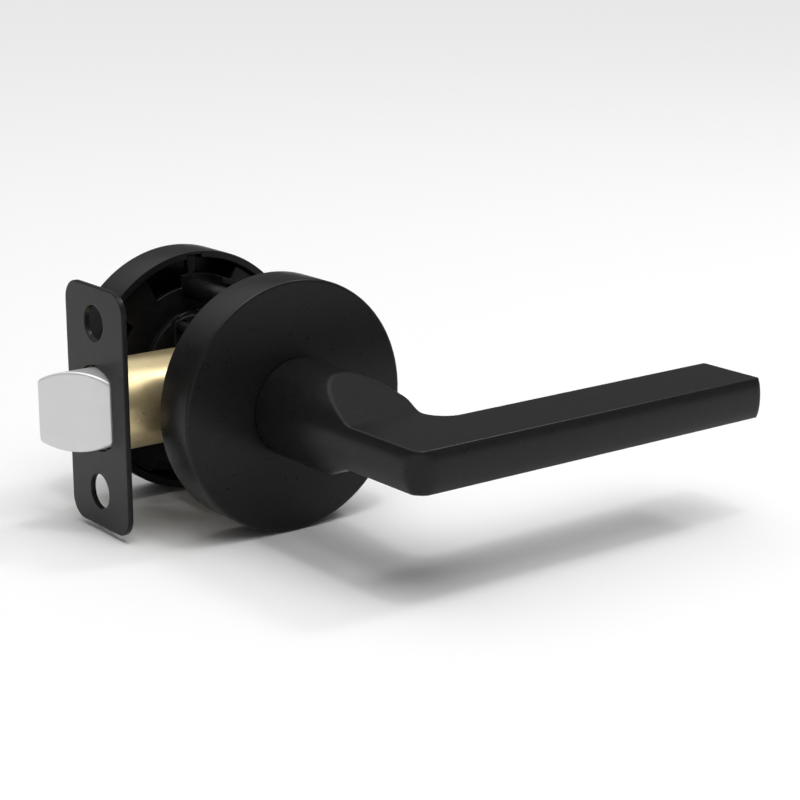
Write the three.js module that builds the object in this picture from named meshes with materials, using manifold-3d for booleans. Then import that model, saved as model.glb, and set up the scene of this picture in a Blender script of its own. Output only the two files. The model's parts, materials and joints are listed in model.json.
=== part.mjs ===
// Lever handle lockset for an interior door: a lever and rose in front, a closed rose behind, and
// the tubular spring latch between them.
//
// Millimetres. +X runs from the latch towards the lever tips, +Y runs through the door from the
// front side to the rear side, and +Z is up. The origin is the middle of the door's thickness,
// where the spindle axis (Y) crosses the latch axis (X).
//
// A "depth" below is a distance from the door's mid-plane. The front half of the set lies at
// negative Y and the rear half is its mirror image.

import * as THREE from 'three';
import { mergeVertices } from 'three/addons/utils/BufferGeometryUtils.js';
import Module from 'manifold-3d';

const wasm = await Module();
wasm.setup();

// ---------------------------------------------------------------- driving dimensions

const GAP = 0.3; // clearance between neighbouring pieces
const HALF_DOOR = 17.5; // half of the 35 mm door
const THROW = 12.7; // latch bolt travel

const rose = {
  radius: 33,
  depth: 12.3,
  wall: 2,
  face: 2.3,
  bore: 10.2,
  edge: 0.6,
  notch: 4.6,
  notchReach: 32.1,
};
const shank = {
  radius: 13,
  start: 30.1,
  cutStart: 48.9,
  cutEnd: 65.2,
  cutEndHeight: 6.4,
  flatStart: 69.5,
  neckSide: 10.2,
};
const bar = { front: 95.4, crown: 1.3, back: 75.5, halfHeight: 5.45, tip: 100.3, elbow: 7, inner: 6.5 };
const journal = { radius: 9.7, end: 10.6, flat: 8, flatDepth: 14.9, grooveRadius: 8.8 };
const spindle = { side: 7.1, front: -52, rear: 27.5, frontSocket: 54, rearSocket: 29 };
const cap = { radius: 12.5, height: 2, edge: 0.5 };
const setScrew = { depth: 37, radius: 2.3, bottom: -11.6, hexRadius: 1.4, hexDepth: 2.4 };

const plate = {
  inner: 19.4,
  thickness: 2,
  radius: 26.6,
  lobe: 30.5,
  recess: 23.2,
  bore: 12.3,
  tab: 2.4,
  tabReach: 31.7,
};
const bushing = { radius: 12, bore: 10, flange: 14.5, flangeThickness: 1.5, outer: 26 };
const guard = { inner: 24.9, outer: 26.4, start: 13.6, halfAngle: 76 };
const drivePlate = { inner: 12.6, thickness: 2, hub: 12.8, lobe: 19, lobeAngle: 135, halfLobe: 22 };
const snapRing = { inner: 9.1, outer: 11.8, start: 11.3, thickness: 1, mouth: 40 };
const returnSpring = { radius: 16.6, wire: 0.7, start: 15.6, end: 18.4, turns: 1.6 };

const post = { offset: 22.5, radius: 2.9, bore: 1.9, front: -6, blindEnd: 12 };
const screw = {
  radius: 1.6,
  clearance: 2.1,
  headRadius: 3.6,
  headHeight: 2.2,
  tip: 6,
  crossHalf: 0.45,
  crossReach: 2.2,
  crossDepth: 1.1,
};

const faceplate = { outer: -41.2, thickness: 1.5, width: 28.6, height: 63.5, corner: 5.5 };
const faceplateHole = { offset: 22.2, radius: 4.6 };
const boltOpening = { radius: 11.1, flat: 7.6 };
const tube = { radius: 11.9, bore: 11.1, rear: -13.2 };
const bolt = { radius: 10.55, flat: 7.2, rear: -38.5, bevelRoot: -41.4, tip: -53.9, nose: 0.8 };

const tail = { width: 4.4, inner: 7.5, outer: 9.6, webThickness: 1.5, rear: 1.9, lugHeight: 16.6 };
const armSlot = { halfWidth: 2.9, front: -24.5 };
const slide = { front: -3.4, rear: -0.9, bottom: 12.2, top: 17, halfWidth: 6.8, ear: 8.9, earHalf: 1.4 };
const hub = { core: 7, journal: 8.6, coreHalf: 4.9, halfLength: 9.2, armReach: 15, armTip: 2.6, armLean: 25 };
const hubArm = { halfWidth: 2.5, neck: 1.5 };
const cheek = { inner: 7.1, thickness: 1.4, front: -12.9, rear: 20, halfHeight: 18.2, corner: 4, bore: 8.9 };
const seat = { front: -10.6, rear: -9.2, halfWidth: 6.8, halfHeight: 7, hole: 2.5 };
const rivet = { radius: 1.5, head: 2.5, headHeight: 0.8, hole: 1.8 };
const latchSpring = { radius: 5.4, wire: 0.5, turns: 8 };

const ROUND = 56; // facets round the large circles
const MEDIUM = 32; // facets round journals and bores
const FINE = 20; // facets round the small circles
const SMALL = 16; // facets round rivets, posts and screw stems
const TWO_PI = 2 * Math.PI;

// ---------------------------------------------------------------- finishes

const finishes = {
  satinBlack: { color: 0x2c2c2e, roughness: 0.45, metalness: 0.3 },
  polishedNickel: { color: 0xd4d4d2, roughness: 0.18, metalness: 1 },
  brass: { color: 0xc6a766, roughness: 0.22, metalness: 1 },
  zincSteel: { color: 0x8d9094, roughness: 0.4, metalness: 0.9 },
  darkSteel: { color: 0x2a2b2d, roughness: 0.5, metalness: 0.6 },
  springSteel: { color: 0x6e7074, roughness: 0.35, metalness: 0.95 },
  nylon: { color: 0xdcdad2, roughness: 0.6, metalness: 0 },
};

// ---------------------------------------------------------------- geometry helpers

const radians = (degrees) => (degrees * Math.PI) / 180;

function toSolid(geometry) {
  const plain = geometry.clone();
  plain.deleteAttribute('normal');
  plain.deleteAttribute('uv');
  const merged = mergeVertices(plain, 1e-4);
  return new wasm.Manifold(
    new wasm.Mesh({
      numProp: 3,
      vertProperties: new Float32Array(merged.attributes.position.array),
      triVerts: new Uint32Array(merged.index.array),
    }),
  );
}

function toGeometry(solid) {
  const mesh = solid.getMesh();
  const geometry = new THREE.BufferGeometry();
  geometry.setAttribute('position', new THREE.BufferAttribute(mesh.vertProperties, 3));
  geometry.setIndex(new THREE.BufferAttribute(mesh.triVerts, 1));
  geometry.computeVertexNormals();
  return geometry;
}

function cut(body, ...tools) {
  let solid = toSolid(body);
  for (const tool of tools) solid = solid.subtract(toSolid(tool));
  return toGeometry(solid);
}

function join(...pieces) {
  let solid = toSolid(pieces[0]);
  for (const piece of pieces.slice(1)) solid = solid.add(toSolid(piece));
  return toGeometry(solid);
}

function common(...pieces) {
  let solid = toSolid(pieces[0]);
  for (const piece of pieces.slice(1)) solid = solid.intersect(toSolid(piece));
  return toGeometry(solid);
}

// The mirror image across the door's mid-plane, with its faces turned outwards again.
function mirrored(geometry) {
  const copy = mergeVertices(geometry.clone());
  copy.applyMatrix4(new THREE.Matrix4().makeScale(1, -1, 1));
  const index = copy.index;
  for (let i = 0; i < index.count; i += 3) {
    const second = index.getX(i + 1);
    index.setX(i + 1, index.getX(i + 2));
    index.setX(i + 2, second);
  }
  copy.computeVertexNormals();
  return copy;
}

function box(x0, x1, y0, y1, z0, z1) {
  const geometry = new THREE.BoxGeometry(x1 - x0, y1 - y0, z1 - z0);
  return geometry.translate((x0 + x1) / 2, (y0 + y1) / 2, (z0 + z1) / 2);
}

function cylinderY(radius, y0, y1, x = 0, z = 0, facets = FINE) {
  const geometry = new THREE.CylinderGeometry(radius, radius, y1 - y0, facets);
  return geometry.translate(x, (y0 + y1) / 2, z);
}

function cylinderX(radius, x0, x1, y = 0, z = 0, facets = FINE) {
  const geometry = new THREE.CylinderGeometry(radius, radius, x1 - x0, facets);
  return geometry.rotateZ(-Math.PI / 2).translate((x0 + x1) / 2, y, z);
}

function cylinderZ(radius, z0, z1, x, y, facets = FINE) {
  const geometry = new THREE.CylinderGeometry(radius, radius, z1 - z0, facets);
  return geometry.rotateX(Math.PI / 2).translate(x, y, (z0 + z1) / 2);
}

// An outline drawn in X and Z, swept along Y.
function extrudeY(shape, y0, y1, curveSegments = 8) {
  const geometry = new THREE.ExtrudeGeometry(shape, { depth: y1 - y0, bevelEnabled: false, curveSegments });
  return geometry.rotateX(Math.PI / 2).translate(0, y1, 0);
}

// An outline drawn in X and Y, swept along Z.
function extrudeZ(shape, z0, z1, curveSegments = 8) {
  const geometry = new THREE.ExtrudeGeometry(shape, { depth: z1 - z0, bevelEnabled: false, curveSegments });
  return geometry.translate(0, 0, z0);
}

// An outline drawn in Y and Z, swept along X.
function extrudeX(shape, x0, x1, curveSegments = 8) {
  const geometry = new THREE.ExtrudeGeometry(shape, { depth: x1 - x0, bevelEnabled: false, curveSegments });
  const turn = new THREE.Matrix4().makeBasis(
    new THREE.Vector3(0, 1, 0),
    new THREE.Vector3(0, 0, 1),
    new THREE.Vector3(1, 0, 0),
  );
  return geometry.applyMatrix4(turn).translate(x0, 0, 0);
}

// A profile of [radius, y] corners that starts and ends on the Y axis, turned about that axis.
function turnedSolid(corners, facets) {
  const points = corners.map(([radius, y]) => new THREE.Vector2(radius, y));
  return new THREE.LatheGeometry(points, facets);
}

// A closed profile of [radius, y] corners, anticlockwise, turned about the Y axis.
function turnedRing(corners, facets) {
  return turnedSolid([...corners, corners[0]], facets);
}

function roundedRectangle(x0, x1, y0, y1, corner) {
  const shape = new THREE.Shape();
  shape.moveTo(x0 + corner, y0);
  shape.lineTo(x1 - corner, y0);
  shape.absarc(x1 - corner, y0 + corner, corner, -Math.PI / 2, 0);
  shape.lineTo(x1, y1 - corner);
  shape.absarc(x1 - corner, y1 - corner, corner, 0, Math.PI / 2);
  shape.lineTo(x0 + corner, y1);
  shape.absarc(x0 + corner, y1 - corner, corner, Math.PI / 2, Math.PI);
  shape.lineTo(x0, y0 + corner);
  shape.absarc(x0 + corner, y0 + corner, corner, Math.PI, 1.5 * Math.PI);
  return shape;
}

// A disc whose radius steps from one value to the next: [start angle, end angle, radius] each.
function steppedDisc(steps, degreesPerPoint = 6) {
  const points = [];
  for (const [start, end, radius] of steps) {
    const count = Math.max(1, Math.round((end - start) / degreesPerPoint));
    for (let i = 0; i <= count; i += 1) {
      const angle = radians(start + ((end - start) * i) / count);
      points.push(new THREE.Vector2(radius * Math.cos(angle), radius * Math.sin(angle)));
    }
  }
  return new THREE.Shape(points);
}

function ringSector(inner, outer, start, end, degreesPerPoint = 6) {
  const count = Math.round((end - start) / degreesPerPoint);
  const arc = (radius) =>
    Array.from({ length: count + 1 }, (_, i) => {
      const angle = radians(start + ((end - start) * i) / count);
      return new THREE.Vector2(radius * Math.cos(angle), radius * Math.sin(angle));
    });
  return new THREE.Shape([...arc(outer), ...arc(inner).reverse()]);
}

// A round wire of the given radius along a smooth curve through the points.
function wireAlong(points, radius, steps) {
  const section = new THREE.Shape();
  section.absarc(0, 0, radius, 0, TWO_PI);
  const path = new THREE.CatmullRomCurve3(points);
  return new THREE.ExtrudeGeometry(section, { steps, bevelEnabled: false, extrudePath: path, curveSegments: 3 });
}

// ---------------------------------------------------------------- roses

function frontRose() {
  const face = -(HALF_DOOR + rose.depth);
  const rim = -HALF_DOOR;
  const floor = face + rose.face;
  const shell = turnedRing(
    [
      [rose.bore, face],
      [rose.radius - rose.edge, face],
      [rose.radius, face + rose.edge],
      [rose.radius, rim],
      [rose.radius - rose.wall, rim],
      [rose.radius - rose.wall, floor],
      [rose.bore, floor],
    ],
    ROUND,
  );
  // The notch at twelve o'clock takes the mounting plate's locating tab.
  const half = rose.notch / 2;
  const notchDepth = plate.inner + plate.thickness + GAP;
  const notch = box(-half, half, -notchDepth, rim + 1, rose.radius - rose.wall - 1, rose.notchReach);
  return cut(shell, notch);
}

// ---------------------------------------------------------------- levers

// Seen from above: round shank at the rose, outer elbow, handle bar and tip.
function leverPlan() {
  const front = -(bar.front + bar.crown);
  const { neckSide } = shank;
  const shape = new THREE.Shape();
  shape.moveTo(-shank.radius, -shank.start);
  shape.lineTo(-shank.radius, front + bar.elbow);
  shape.absarc(-shank.radius + bar.elbow, front + bar.elbow, bar.elbow, Math.PI, 1.5 * Math.PI);
  shape.lineTo(bar.tip, front);
  shape.lineTo(bar.tip, -bar.back);
  shape.lineTo(neckSide + bar.inner, -bar.back);
  shape.absarc(neckSide + bar.inner, -bar.back + bar.inner, bar.inner, 1.5 * Math.PI, Math.PI, true);
  shape.lineTo(shank.radius, -shank.cutStart);
  shape.lineTo(shank.radius, -shank.start);
  return shape;
}

// Seen along X: full-height shank, sloping cuts above and below, thin bar with a crowned front.
function leverSide() {
  const { radius, start, cutStart, cutEnd, cutEndHeight, flatStart } = shank;
  const { front, crown, halfHeight } = bar;
  const crownRadius = (halfHeight * halfHeight + crown * crown) / (2 * crown);
  const crownCentre = -(front + crown) + crownRadius;
  const crownAngle = Math.asin(halfHeight / crownRadius);
  const shape = new THREE.Shape();
  shape.moveTo(-start, radius);
  shape.lineTo(-cutStart, radius);
  shape.lineTo(-cutEnd, cutEndHeight);
  shape.quadraticCurveTo(-(cutEnd + 2), halfHeight, -flatStart, halfHeight);
  shape.lineTo(-front, halfHeight);
  shape.absarc(crownCentre, 0, crownRadius, Math.PI - crownAngle, Math.PI + crownAngle);
  shape.lineTo(-flatStart, -halfHeight);
  shape.quadraticCurveTo(-(cutEnd + 2), -halfHeight, -cutEnd, -cutEndHeight);
  shape.lineTo(-cutStart, -radius);
  shape.lineTo(-start, -radius);
  return shape;
}

// The round stub that turns in the bushing, from a start depth down to its end inside the rose. It
// has a groove for the snap ring and two flats for the drive plate.
function journalBody(start) {
  const { radius, end, flat, flatDepth, grooveRadius } = journal;
  const grooveStart = snapRing.start - GAP / 2;
  const grooveEnd = snapRing.start + snapRing.thickness + GAP / 2;
  const stepped = turnedSolid(
    [
      [0, -start],
      [radius, -start],
      [radius, -grooveEnd],
      [grooveRadius, -grooveEnd],
      [grooveRadius, -grooveStart],
      [radius, -grooveStart],
      [radius, -end],
      [0, -end],
    ],
    MEDIUM,
  );
  const flats = [-1, 1].map((side) => {
    const centre = side * (flat + 2);
    return box(centre - 2, centre + 2, -flatDepth, 0, -radius - 1, radius + 1);
  });
  return cut(stepped, ...flats);
}

function leverHandle() {
  const front = bar.front + bar.crown;
  const blank = common(
    extrudeZ(leverPlan(), -shank.radius, shank.radius, 6),
    extrudeX(leverSide(), -shank.radius - 1, bar.tip + 1, 6),
    join(
      cylinderY(shank.radius, -front, -shank.start, 0, 0, ROUND),
      box(0, bar.tip + 1, -front - 1, -shank.flatStart, -bar.halfHeight - 1, bar.halfHeight + 1),
    ),
  );
  const socketHalf = spindle.side / 2 + GAP;
  const socket = box(-socketHalf, socketHalf, -spindle.frontSocket, 0, -socketHalf, socketHalf);
  const screwHole = cylinderZ(setScrew.radius + GAP, -shank.radius - 1, 0, 0, -setScrew.depth);
  return cut(join(blank, journalBody(shank.start + 1)), socket, screwHole);
}

// Closes the rear rose. It turns with the spindle and carries the rear drive plate.
function rearCap() {
  const { radius, height, edge } = cap;
  const seatDepth = shank.start;
  const disc = turnedSolid(
    [
      [0, -seatDepth - height],
      [radius - edge, -seatDepth - height],
      [radius, -seatDepth - height + edge],
      [radius, -seatDepth],
      [0, -seatDepth],
    ],
    MEDIUM,
  );
  const socketHalf = spindle.side / 2 + GAP;
  const socket = box(-socketHalf, socketHalf, -spindle.rearSocket, 0, -socketHalf, socketHalf);
  return mirrored(cut(join(disc, journalBody(seatDepth + 1)), socket));
}

function leverSetScrew() {
  const { depth, radius, bottom, hexRadius, hexDepth } = setScrew;
  const top = -(spindle.side / 2 + GAP);
  const body = cylinderZ(radius, bottom, top, 0, -depth);
  const hexSocket = cylinderZ(hexRadius, bottom - 1, bottom + hexDepth, 0, -depth, 6);
  return cut(body, hexSocket);
}

function spindleBar() {
  const half = spindle.side / 2;
  const shape = roundedRectangle(-half, half, -half, half, 0.5);
  return extrudeY(shape, spindle.front, spindle.rear, 1);
}

// ---------------------------------------------------------------- rose internals

// Mounting plate: a disc with four lobes that hold the rose, and a locating tab at the top.
function plateOutline() {
  const { radius, lobe, recess, tab, tabReach } = plate;
  const tabHalf = (Math.asin(tab / 2 / tabReach) * 180) / Math.PI;
  return steppedDisc(
    [
      [-40, 38, radius],
      [38, 62, lobe],
      [62, 90 - tabHalf, radius],
      [90 - tabHalf, 90 + tabHalf, tabReach],
      [90 + tabHalf, 97, radius],
      [97, 118, recess],
      [118, 142, lobe],
      [142, 218, recess],
      [218, 242, lobe],
      [242, 298, radius],
      [298, 320, lobe],
    ],
    8,
  );
}

function frontMountingPlate() {
  const outer = -(plate.inner + plate.thickness);
  const inner = -plate.inner;
  const disc = extrudeY(plateOutline(), outer, inner);
  const bores = [cylinderY(plate.bore, outer - 1, inner + 1, 0, 0, MEDIUM)];
  for (const side of [-1, 1]) {
    bores.push(cylinderY(screw.clearance, outer - 1, inner + 1, 0, side * post.offset));
  }
  return cut(disc, ...bores);
}

function frontBushing() {
  const start = -bushing.outer;
  const flangeInner = -(plate.inner + plate.thickness + GAP);
  const flangeOuter = flangeInner - bushing.flangeThickness;
  return turnedRing(
    [
      [bushing.bore, start],
      [bushing.radius, start],
      [bushing.radius, flangeOuter],
      [bushing.flange, flangeOuter],
      [bushing.flange, flangeInner],
      [bushing.radius, flangeInner],
      [bushing.radius, -plate.inner],
      [bushing.bore, -plate.inner],
    ],
    MEDIUM,
  );
}

function frontSpringGuard() {
  const wall = ringSector(guard.inner, guard.outer, -guard.halfAngle, guard.halfAngle);
  return extrudeY(wall, -(plate.inner - GAP), -guard.start);
}

function frontDrivePlate() {
  const { inner, thickness, hub: hubRadius, lobe, lobeAngle, halfLobe } = drivePlate;
  const opposite = lobeAngle + 180;
  const outline = steppedDisc([
    [lobeAngle - halfLobe, lobeAngle + halfLobe, lobe],
    [lobeAngle + halfLobe, opposite - halfLobe, hubRadius],
    [opposite - halfLobe, opposite + halfLobe, lobe],
    [opposite + halfLobe, lobeAngle + 360 - halfLobe, hubRadius],
  ]);
  const disc = extrudeY(outline, -(inner + thickness), -inner);
  const boreHalf = journal.flat + GAP;
  const bore = common(
    cylinderY(journal.radius + GAP, -inner - thickness - 1, -inner + 1, 0, 0, MEDIUM),
    box(-boreHalf, boreHalf, -inner - thickness - 2, 0, -20, 20),
  );
  return cut(disc, bore);
}

function frontSnapRing() {
  const { inner, outer, start, thickness, mouth } = snapRing;
  const sector = ringSector(inner, outer, -90 + mouth / 2, 270 - mouth / 2, 10);
  return extrudeY(sector, -(start + thickness), -start);
}

// Torsion spring round the lever journal, with one leg reaching out to the plate and the other
// reaching in to the drive plate.
function frontReturnSpring() {
  const { radius, wire, start, end, turns } = returnSpring;
  const coilPoints = 36;
  const firstAngle = radians(60);
  const points = [];
  const place = (distance, angle, depth) => {
    points.push(new THREE.Vector3(distance * Math.cos(angle), -depth, distance * Math.sin(angle)));
  };
  place(radius - 3.2, firstAngle - 0.1, start);
  place(radius - 1.6, firstAngle - 0.06, start);
  for (let i = 0; i <= coilPoints; i += 1) {
    const part = i / coilPoints;
    place(radius, firstAngle + part * turns * TWO_PI, start + part * (end - start));
  }
  const lastAngle = firstAngle + turns * TWO_PI;
  place(radius + 2.4, lastAngle + 0.1, end);
  place(radius + 5.4, lastAngle + 0.13, end);
  return wireAlong(points, wire, 48);
}

// ---------------------------------------------------------------- through bolts

function threadedPost(side) {
  const z = side * post.offset;
  const rear = plate.inner - GAP;
  const body = cylinderY(post.radius, post.front, rear, 0, z, SMALL);
  const bore = cylinderY(post.bore, post.front - 1, post.blindEnd, 0, z, SMALL);
  return cut(body, bore);
}

function mountingScrew(side) {
  const z = side * post.offset;
  const headFace = -(plate.inner + plate.thickness + GAP);
  const head = cylinderY(screw.headRadius, headFace - screw.headHeight, headFace, 0, z, FINE);
  const stem = cylinderY(screw.radius, headFace - 1, screw.tip, 0, z, SMALL);
  const { crossHalf, crossReach, crossDepth } = screw;
  const crossOuter = headFace - screw.headHeight - 1;
  const crossInner = headFace - screw.headHeight + crossDepth;
  const crossCuts = [
    box(-crossHalf, crossHalf, crossOuter, crossInner, z - crossReach, z + crossReach),
    box(-crossReach, crossReach, crossOuter, crossInner, z - crossHalf, z + crossHalf),
  ];
  return cut(join(head, stem), ...crossCuts);
}

// ---------------------------------------------------------------- latch: fixed pieces

function latchFaceplate() {
  const { outer, thickness, width, height, corner } = faceplate;
  const outline = roundedRectangle(-width / 2, width / 2, -height / 2, height / 2, corner);
  const blank = extrudeX(outline, outer, outer + thickness, 6);
  const opening = common(
    cylinderX(boltOpening.radius, outer - 1, outer + thickness + 1, 0, 0, MEDIUM),
    box(outer - 2, outer + thickness + 2, -boltOpening.flat, boltOpening.flat, -20, 20),
  );
  const holes = [-1, 1].map((side) =>
    cylinderX(faceplateHole.radius, outer - 1, outer + thickness + 1, 0, side * faceplateHole.offset, MEDIUM),
  );
  return cut(blank, opening, ...holes);
}

function latchTube() {
  const front = faceplate.outer + faceplate.thickness + GAP;
  return cut(
    cylinderX(tube.radius, front, tube.rear, 0, 0, MEDIUM),
    cylinderX(tube.bore, front - 1, tube.rear + 1, 0, 0, MEDIUM),
  );
}

// Where the rivets cross the latch case, as [x, z].
const rivetPlaces = { upper: [-10.6, 15.6], lower: [-10.6, -15.6], rear: [15, 0] };

// One side plate of the latch case. Its slot guides the retractor slide.
function latchCaseCheek(side) {
  const { inner, thickness, front, rear, halfHeight, corner, bore } = cheek;
  const y0 = side > 0 ? inner : -inner - thickness;
  const y1 = y0 + thickness;
  const outline = roundedRectangle(front, rear, -halfHeight, halfHeight, corner);
  const slotHalf = GAP + slide.earHalf;
  const slotMiddle = (slide.bottom + slide.top) / 2;
  const cuts = [
    cylinderY(bore, y0 - 1, y1 + 1, 0, 0, MEDIUM),
    box(
      slide.front - 0.8,
      slide.rear + THROW + 1,
      y0 - 1,
      y1 + 1,
      slotMiddle - slotHalf,
      slotMiddle + slotHalf,
    ),
  ];
  for (const [x, z] of Object.values(rivetPlaces)) {
    cuts.push(cylinderY(rivet.hole, y0 - 1, y1 + 1, x, z, SMALL));
  }
  return cut(extrudeY(outline, y0, y1, 4), ...cuts);
}

function caseRivet([x, z]) {
  const headInner = cheek.inner + cheek.thickness + GAP;
  const headOuter = headInner + rivet.headHeight;
  const turned = turnedSolid(
    [
      [0, -headOuter],
      [rivet.head, -headOuter],
      [rivet.head, -headInner],
      [rivet.radius, -headInner],
      [rivet.radius, headInner],
      [rivet.head, headInner],
      [rivet.head, headOuter],
      [0, headOuter],
    ],
    SMALL,
  );
  return turned.translate(x, 0, z);
}

function springSeat() {
  const { front, rear, halfWidth, halfHeight, hole } = seat;
  const slab = box(front, rear, -halfWidth, halfWidth, -halfHeight, halfHeight);
  return cut(slab, cylinderX(hole, front - 1, rear + 1, 0, 0, SMALL));
}

function latchCoil() {
  const { radius, wire, turns } = latchSpring;
  const start = bolt.rear + GAP + tail.webThickness + GAP + wire;
  const end = seat.front - GAP - wire;
  const pointsPerTurn = 9;
  const count = turns * pointsPerTurn;
  const points = [];
  for (let i = 0; i <= count; i += 1) {
    const part = i / count;
    const angle = part * turns * TWO_PI;
    const x = start + part * (end - start);
    points.push(new THREE.Vector3(x, radius * Math.cos(angle), radius * Math.sin(angle)));
  }
  return wireAlong(points, wire, count);
}

// ---------------------------------------------------------------- latch: moving pieces

// Round bolt with two flats and a bevel across its nose, facing the front of the door.
function latchBolt() {
  const { radius, flat, rear, bevelRoot, tip, nose } = bolt;
  const plan = new THREE.Shape();
  plan.moveTo(rear, -flat);
  plan.lineTo(bevelRoot, -flat);
  plan.lineTo(tip, flat - nose);
  plan.lineTo(tip, flat);
  plan.lineTo(rear, flat);
  return common(cylinderX(radius, tip - 1, rear, 0, 0, ROUND), extrudeZ(plan, -radius - 1, radius + 1));
}

// Clevis behind the bolt: one leg above the hub and one below, with a lug that the retractor
// slide pulls. The upper leg is slotted for the hub's arm.
function boltTail() {
  const { width, inner, outer, webThickness, rear, lugHeight } = tail;
  const front = bolt.rear + GAP;
  const lugFront = slide.rear + GAP;
  const web = box(front, front + webThickness, -width, width, -outer, outer);
  const upperLeg = box(front, rear, -width, width, inner, outer);
  const lowerLeg = box(front, rear, -width, width, -outer, -inner);
  const lug = box(lugFront, rear, -width, width, inner, lugHeight);
  const slot = box(armSlot.front, lugFront, -armSlot.halfWidth, armSlot.halfWidth, inner - 1, outer + 1);
  return cut(join(web, upperLeg, lowerLeg, lug), slot);
}

function retractorSlide() {
  const { front, rear, bottom, top, halfWidth, ear, earHalf } = slide;
  const middle = (bottom + top) / 2;
  return join(
    box(front, rear, -halfWidth, halfWidth, bottom, top),
    box(front, rear, -ear, ear, middle - earHalf, middle + earHalf),
  );
}

// Latch hub: journals in the case cheeks, a slimmer core between them, and the arm that pushes
// the retractor slide. The arm leans towards the bolt at rest.
function latchHub() {
  const { core, journal: journalRadius, coreHalf, halfLength, armReach, armTip, armLean } = hub;
  const lean = radians(armLean);
  const tipX = -armReach * Math.sin(lean);
  const tipZ = armReach * Math.cos(lean);
  const sideX = hubArm.neck * Math.cos(lean);
  const sideZ = hubArm.neck * Math.sin(lean);
  const neck = new THREE.Shape([
    new THREE.Vector2(-sideX, -sideZ),
    new THREE.Vector2(sideX, sideZ),
    new THREE.Vector2(tipX + sideX, tipZ + sideZ),
    new THREE.Vector2(tipX - sideX, tipZ - sideZ),
  ]);
  const body = join(
    cylinderY(core, -coreHalf - 1, coreHalf + 1, 0, 0, MEDIUM),
    cylinderY(journalRadius, -halfLength, -coreHalf, 0, 0, MEDIUM),
    cylinderY(journalRadius, coreHalf, halfLength, 0, 0, MEDIUM),
    extrudeY(neck, -hubArm.halfWidth, hubArm.halfWidth),
    cylinderY(armTip, -hubArm.halfWidth, hubArm.halfWidth, tipX, tipZ),
  );
  const half = spindle.side / 2 + GAP;
  return cut(body, box(-half, half, -halfLength - 1, halfLength + 1, -half, half));
}

// ---------------------------------------------------------------- assembly

const lockset = new THREE.Group();

function addPiece(parent, name, geometry, finish) {
  const mesh = new THREE.Mesh(geometry, new THREE.MeshStandardMaterial(finishes[finish]));
  mesh.name = name;
  parent.add(mesh);
}

// A front piece and its mirror image behind the door.
function addPair(parent, name, geometry, finish) {
  addPiece(parent, `front_${name}`, geometry, finish);
  addPiece(parent, `rear_${name}`, mirrored(geometry), finish);
}

const handleSet = new THREE.Group();
addPiece(handleSet, 'lever', leverHandle(), 'satinBlack');
addPiece(handleSet, 'set_screw', leverSetScrew(), 'darkSteel');
addPiece(handleSet, 'rear_cap', rearCap(), 'satinBlack');
addPair(handleSet, 'drive_plate', frontDrivePlate(), 'darkSteel');
addPair(handleSet, 'snap_ring', frontSnapRing(), 'springSteel');
addPiece(handleSet, 'spindle', spindleBar(), 'zincSteel');
addPiece(handleSet, 'latch_hub', latchHub(), 'zincSteel');

const trim = new THREE.Group();
addPair(trim, 'rose', frontRose(), 'satinBlack');
addPair(trim, 'mounting_plate', frontMountingPlate(), 'darkSteel');
addPair(trim, 'bushing', frontBushing(), 'nylon');
addPair(trim, 'spring_guard', frontSpringGuard(), 'darkSteel');
addPair(trim, 'return_spring', frontReturnSpring(), 'springSteel');

const throughBolts = new THREE.Group();
for (const [place, side] of Object.entries({ upper: 1, lower: -1 })) {
  addPiece(throughBolts, `${place}_threaded_post`, threadedPost(side), 'darkSteel');
  addPiece(throughBolts, `${place}_mounting_screw`, mountingScrew(side), 'zincSteel');
}

const latch = new THREE.Group();
addPiece(latch, 'faceplate', latchFaceplate(), 'satinBlack');
addPiece(latch, 'latch_tube', latchTube(), 'brass');
addPiece(latch, 'front_case_cheek', latchCaseCheek(-1), 'zincSteel');
addPiece(latch, 'rear_case_cheek', latchCaseCheek(1), 'zincSteel');
addPiece(latch, 'spring_seat', springSeat(), 'zincSteel');
addPiece(latch, 'latch_spring', latchCoil(), 'springSteel');
addPiece(latch, 'latch_bolt', latchBolt(), 'polishedNickel');
addPiece(latch, 'bolt_tail', boltTail(), 'zincSteel');
addPiece(latch, 'retractor_slide', retractorSlide(), 'zincSteel');
for (const [place, position] of Object.entries(rivetPlaces)) {
  addPiece(latch, `${place}_case_rivet`, caseRivet(position), 'zincSteel');
}

lockset.add(handleSet, trim, throughBolts, latch);

export default lockset;
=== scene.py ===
"""Lever handle lockset: the fine surfaces, materials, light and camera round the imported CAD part.

Everything is in metres in the part's own frame: +X from the latch towards the lever tip, +Y through
the door from the front side to the rear side, +Z up. Outlines and profiles are drawn in millimetres
and scaled once, when their mesh is made. A "depth" is a distance from the door's mid-plane: front
pieces are drawn at their depth and mirrored for the rear.
"""

import json
import math

import bmesh
import bpy
import numpy as np
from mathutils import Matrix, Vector
from mathutils.geometry import tessellate_polygon


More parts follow.
